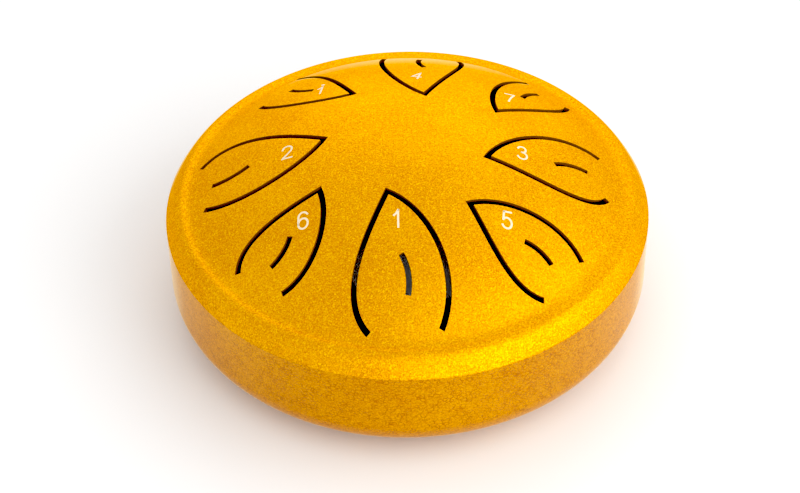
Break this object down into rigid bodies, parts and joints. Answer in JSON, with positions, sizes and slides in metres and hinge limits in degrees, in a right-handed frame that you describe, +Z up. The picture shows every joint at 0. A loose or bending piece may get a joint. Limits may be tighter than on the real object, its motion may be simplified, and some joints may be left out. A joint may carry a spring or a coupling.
{
  "type": "tongue drum",
  "caption": "Small domed steel tongue drum: leaf-shaped tuned tongues cut in a domed top shell, over a flat-bottomed pan with a sound hole and rubber feet.",
  "frame": {"origin": "on the floor under the middle of the drum, level with the undersides of the feet", "axes": "+Z up along the drum's axis; -Y towards the player and the lowest note's tongue; +X to the player's right"},
  "size_m": [0.155, 0.155, 0.0654],
  "materials": {
    "lacquer": "golden-yellow metallic lacquer with a fine leather grain, satin",
    "enamel": "warm white printed enamel, satin",
    "rubber": "matt black",
    "plated_steel": "bright zinc plating",
    "bare_steel": "bare weld metal, slightly oxidised"
  },
  "bodies": {
    "drum_body": {"top_shell": "lacquer", "bottom_pan": "lacquer", "rim_weld_bead": "bare_steel", "rubber_foot_1": "rubber", "rubber_foot_2": "rubber", "rubber_foot_3": "rubber", "foot_screw_1": "plated_steel", "foot_screw_2": "plated_steel", "foot_screw_3": "plated_steel", "foot_washer_1": "plated_steel", "foot_washer_2": "plated_steel", "foot_washer_3": "plated_steel", "foot_nut_1": "plated_steel", "foot_nut_2": "plated_steel", "foot_nut_3": "plated_steel"},
    "note_low_1": {"tongue_low_1": "lacquer", "numeral_low_1": "enamel"},
    "note_2": {"tongue_2": "lacquer", "numeral_2": "enamel"},
    "note_3": {"tongue_3": "lacquer", "numeral_3": "enamel"},
    "note_4": {"tongue_4": "lacquer", "numeral_4": "enamel"},
    "note_5": {"tongue_5": "lacquer", "numeral_5": "enamel"},
    "note_6": {"tongue_6": "lacquer", "numeral_6": "enamel"},
    "note_7": {"tongue_7": "lacquer", "numeral_7": "enamel"},
    "note_high_1": {"tongue_high_1": "lacquer", "numeral_high_1": "enamel", "octave_dot": "enamel"}
  },
  "joints": [
    {"name": "flex_low_1", "type": "hinge", "parent": "drum_body", "child": "note_low_1", "pos_m": [-0.00114, -0.06558, 0.04434], "axis": [-0.9994, -0.0359, 0], "range_deg": [-1, 1], "stiffness_Nm_per_rad": 41},
    {"name": "flex_2", "type": "hinge", "parent": "drum_body", "child": "note_2", "pos_m": [-0.06522, -0.00034, 0.04458], "axis": [-0.1072, 0.9942, 0], "range_deg": [-1, 1], "stiffness_Nm_per_rad": 40},
    {"name": "flex_3", "type": "hinge", "parent": "drum_body", "child": "note_3", "pos_m": [0.06261, -0.00033, 0.04622], "axis": [0.0678, -0.9977, 0], "range_deg": [-1, 1], "stiffness_Nm_per_rad": 49},
    {"name": "flex_4", "type": "hinge", "parent": "drum_body", "child": "note_4", "pos_m": [0.00556, 0.06615, 0.04382], "axis": [0.9965, -0.0837, 0], "range_deg": [-1, 1], "stiffness_Nm_per_rad": 42},
    {"name": "flex_5", "type": "hinge", "parent": "drum_body", "child": "note_5", "pos_m": [0.04709, -0.04516, 0.04456], "axis": [-0.6267, -0.7793, 0], "range_deg": [-1, 1], "stiffness_Nm_per_rad": 36},
    {"name": "flex_6", "type": "hinge", "parent": "drum_body", "child": "note_6", "pos_m": [-0.04514, -0.0453, 0.04539], "axis": [-0.7937, 0.6083, 0], "range_deg": [-1, 1], "stiffness_Nm_per_rad": 42},
    {"name": "flex_7", "type": "hinge", "parent": "drum_body", "child": "note_7", "pos_m": [0.0474, 0.04405, 0.04491], "axis": [0.6889, -0.7248, 0], "range_deg": [-1, 1], "stiffness_Nm_per_rad": 45},
    {"name": "flex_high_1", "type": "hinge", "parent": "drum_body", "child": "note_high_1", "pos_m": [-0.0423, 0.04649, 0.04607], "axis": [0.488, 0.8728, 0], "range_deg": [-1, 1], "stiffness_Nm_per_rad": 48}
  ]
}
